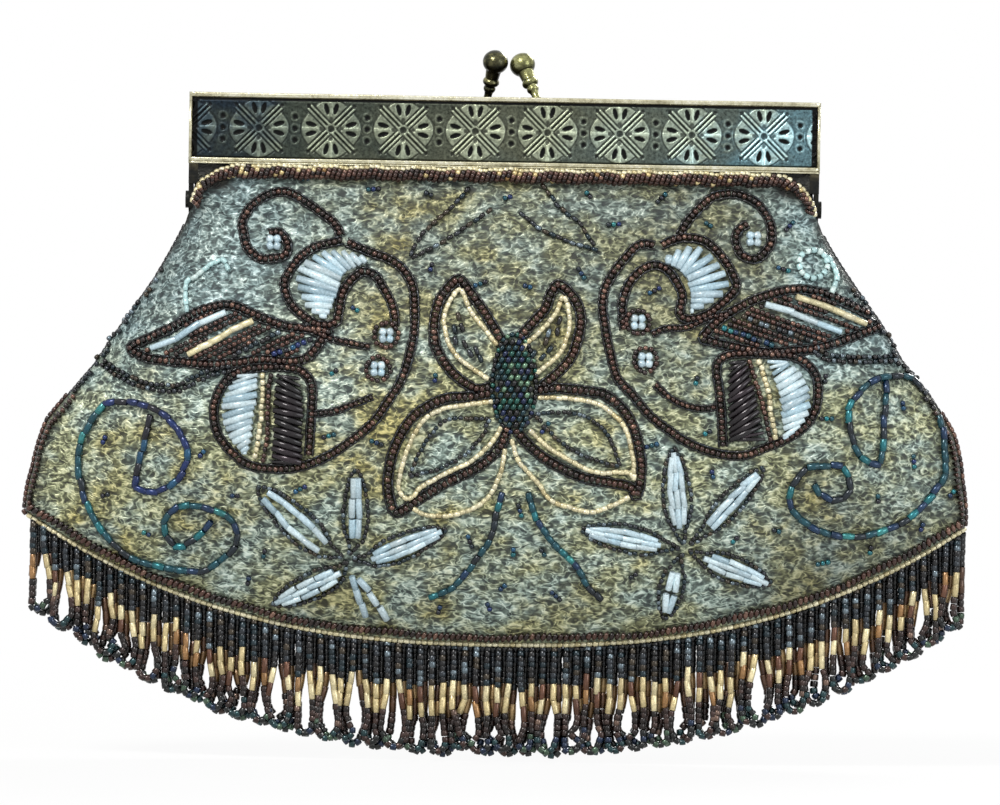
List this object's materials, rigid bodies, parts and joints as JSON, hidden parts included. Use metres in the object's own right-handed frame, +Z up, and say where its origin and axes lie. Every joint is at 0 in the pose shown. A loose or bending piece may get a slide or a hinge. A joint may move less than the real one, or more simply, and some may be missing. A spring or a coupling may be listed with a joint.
{
  "type": "kiss lock frame purse",
  "caption": "Beaded evening purse of gold cloth on a hinged antique brass frame with a pierced band, a kiss lock and a fringe of bead loops.",
  "frame": {"origin": "bottom centre of the part's box: under the middle of the purse, at the level of the lowest bead loop", "axes": "+X to the right as the decorated front is seen, +Y from front to back, +Z up towards the kiss lock"},
  "size_m": [0.245, 0.0312, 0.18],
  "materials": {
    "frame_brass": "antique, worn bright on the edges",
    "filigree_brass": "antique, dark in the recesses",
    "lock_brass": "antique, polished on the crowns",
    "clamp_steel": "plain",
    "gold_cloth": "crinkled metallic lame",
    "lining_satin": "satin",
    "brown_beads": "glossy seed beads",
    "gold_beads": "silver-lined seed beads",
    "white_beads": "pearly seed beads",
    "teal_beads": "glossy bugle and seed beads",
    "dark_beads": "iridescent seed beads"
  },
  "bodies": {
    "pouch": {"front_panel": "gold_cloth", "back_panel": "gold_cloth", "front_lining": "lining_satin", "back_lining": "lining_satin", "front_seam_rope": "brown_beads", "back_seam_rope": "brown_beads", "edge_line": "gold_beads", "front_neck_cloth": "gold_cloth", "back_neck_cloth": "gold_cloth", "left_scroll": "brown_beads", "right_scroll": "brown_beads", "left_wing": "brown_beads", "right_wing": "brown_beads", "wing_rows": "gold_beads", "moon_lines": "gold_beads", "butterfly_gold": "gold_beads", "crescent_beads": "white_beads", "star_beads": "white_beads", "left_moon": "dark_beads", "right_moon": "dark_beads", "left_star": "dark_beads", "right_star": "dark_beads", "butterfly_wings": "dark_beads", "left_vine": "teal_beads", "right_vine": "teal_beads", "butterfly_body": "teal_beads", "stems": "teal_beads"},
    "front_half": {"front_frame": "frame_brass", "front_filigree": "filigree_brass", "front_clamp_strip": "clamp_steel", "front_lock_post": "lock_brass", "front_yoke": "gold_cloth", "front_top_rope": "brown_beads"},
    "back_half": {"back_frame": "frame_brass", "back_filigree": "filigree_brass", "back_clamp_strip": "clamp_steel", "back_lock_post": "lock_brass", "back_yoke": "gold_cloth", "back_top_rope": "brown_beads", "left_hinge_pin": "lock_brass", "right_hinge_pin": "lock_brass"},
    "fringe_section_1": {"fringe_1": "dark_beads"},
    "fringe_section_2": {"fringe_2": "dark_beads"},
    "fringe_section_3": {"fringe_3": "dark_beads"},
    "fringe_section_4": {"fringe_4": "dark_beads"},
    "fringe_section_5": {"fringe_5": "dark_beads"},
    "fringe_section_6": {"fringe_6": "dark_beads"},
    "fringe_section_7": {"fringe_7": "dark_beads"}
  },
  "joints": [
    {"name": "front_hinge", "type": "hinge", "parent": "pouch", "child": "front_half", "pos_m": [0, 0, 0.1406], "axis": [1, 0, 0], "range_deg": [0, 45], "deforming": ["front_neck_cloth"]},
    {"name": "back_hinge", "type": "hinge", "parent": "pouch", "child": "back_half", "pos_m": [0, 0, 0.1406], "axis": [1, 0, 0], "range_deg": [-45, 0], "deforming": ["back_neck_cloth"]},
    {"name": "fringe_swing_1", "type": "hinge", "parent": "pouch", "child": "fringe_section_1", "pos_m": [-0.102, 0, 0.0468], "axis": [0.8925, 0, -0.4511], "range_deg": [-45, 45]},
    {"name": "fringe_swing_2", "type": "hinge", "parent": "pouch", "child": "fringe_section_2", "pos_m": [-0.068, 0, 0.03391], "axis": [0.9639, 0, -0.2664], "range_deg": [-45, 45]},
    {"name": "fringe_swing_3", "type": "hinge", "parent": "pouch", "child": "fringe_section_3", "pos_m": [-0.034, 0, 0.02786], "axis": [0.995, 0, -0.0995], "range_deg": [-45, 45]},
    {"name": "fringe_swing_4", "type": "hinge", "parent": "pouch", "child": "fringe_section_4", "pos_m": [0, 0, 0.02655], "axis": [1, 0, 0], "range_deg": [-45, 45]},
    {"name": "fringe_swing_5", "type": "hinge", "parent": "pouch", "child": "fringe_section_5", "pos_m": [0.034, 0, 0.02786], "axis": [0.995, 0, 0.0995], "range_deg": [-45, 45]},
    {"name": "fringe_swing_6", "type": "hinge", "parent": "pouch", "child": "fringe_section_6", "pos_m": [0.068, 0, 0.03391], "axis": [0.9639, 0, 0.2664], "range_deg": [-45, 45]},
    {"name": "fringe_swing_7", "type": "hinge", "parent": "pouch", "child": "fringe_section_7", "pos_m": [0.102, 0, 0.0468], "axis": [0.8925, 0, 0.4511], "range_deg": [-45, 45]}
  ],
  "couplings": [
    {"joint": "back_hinge", "follows": "front_hinge", "ratio": -1}
  ]
}
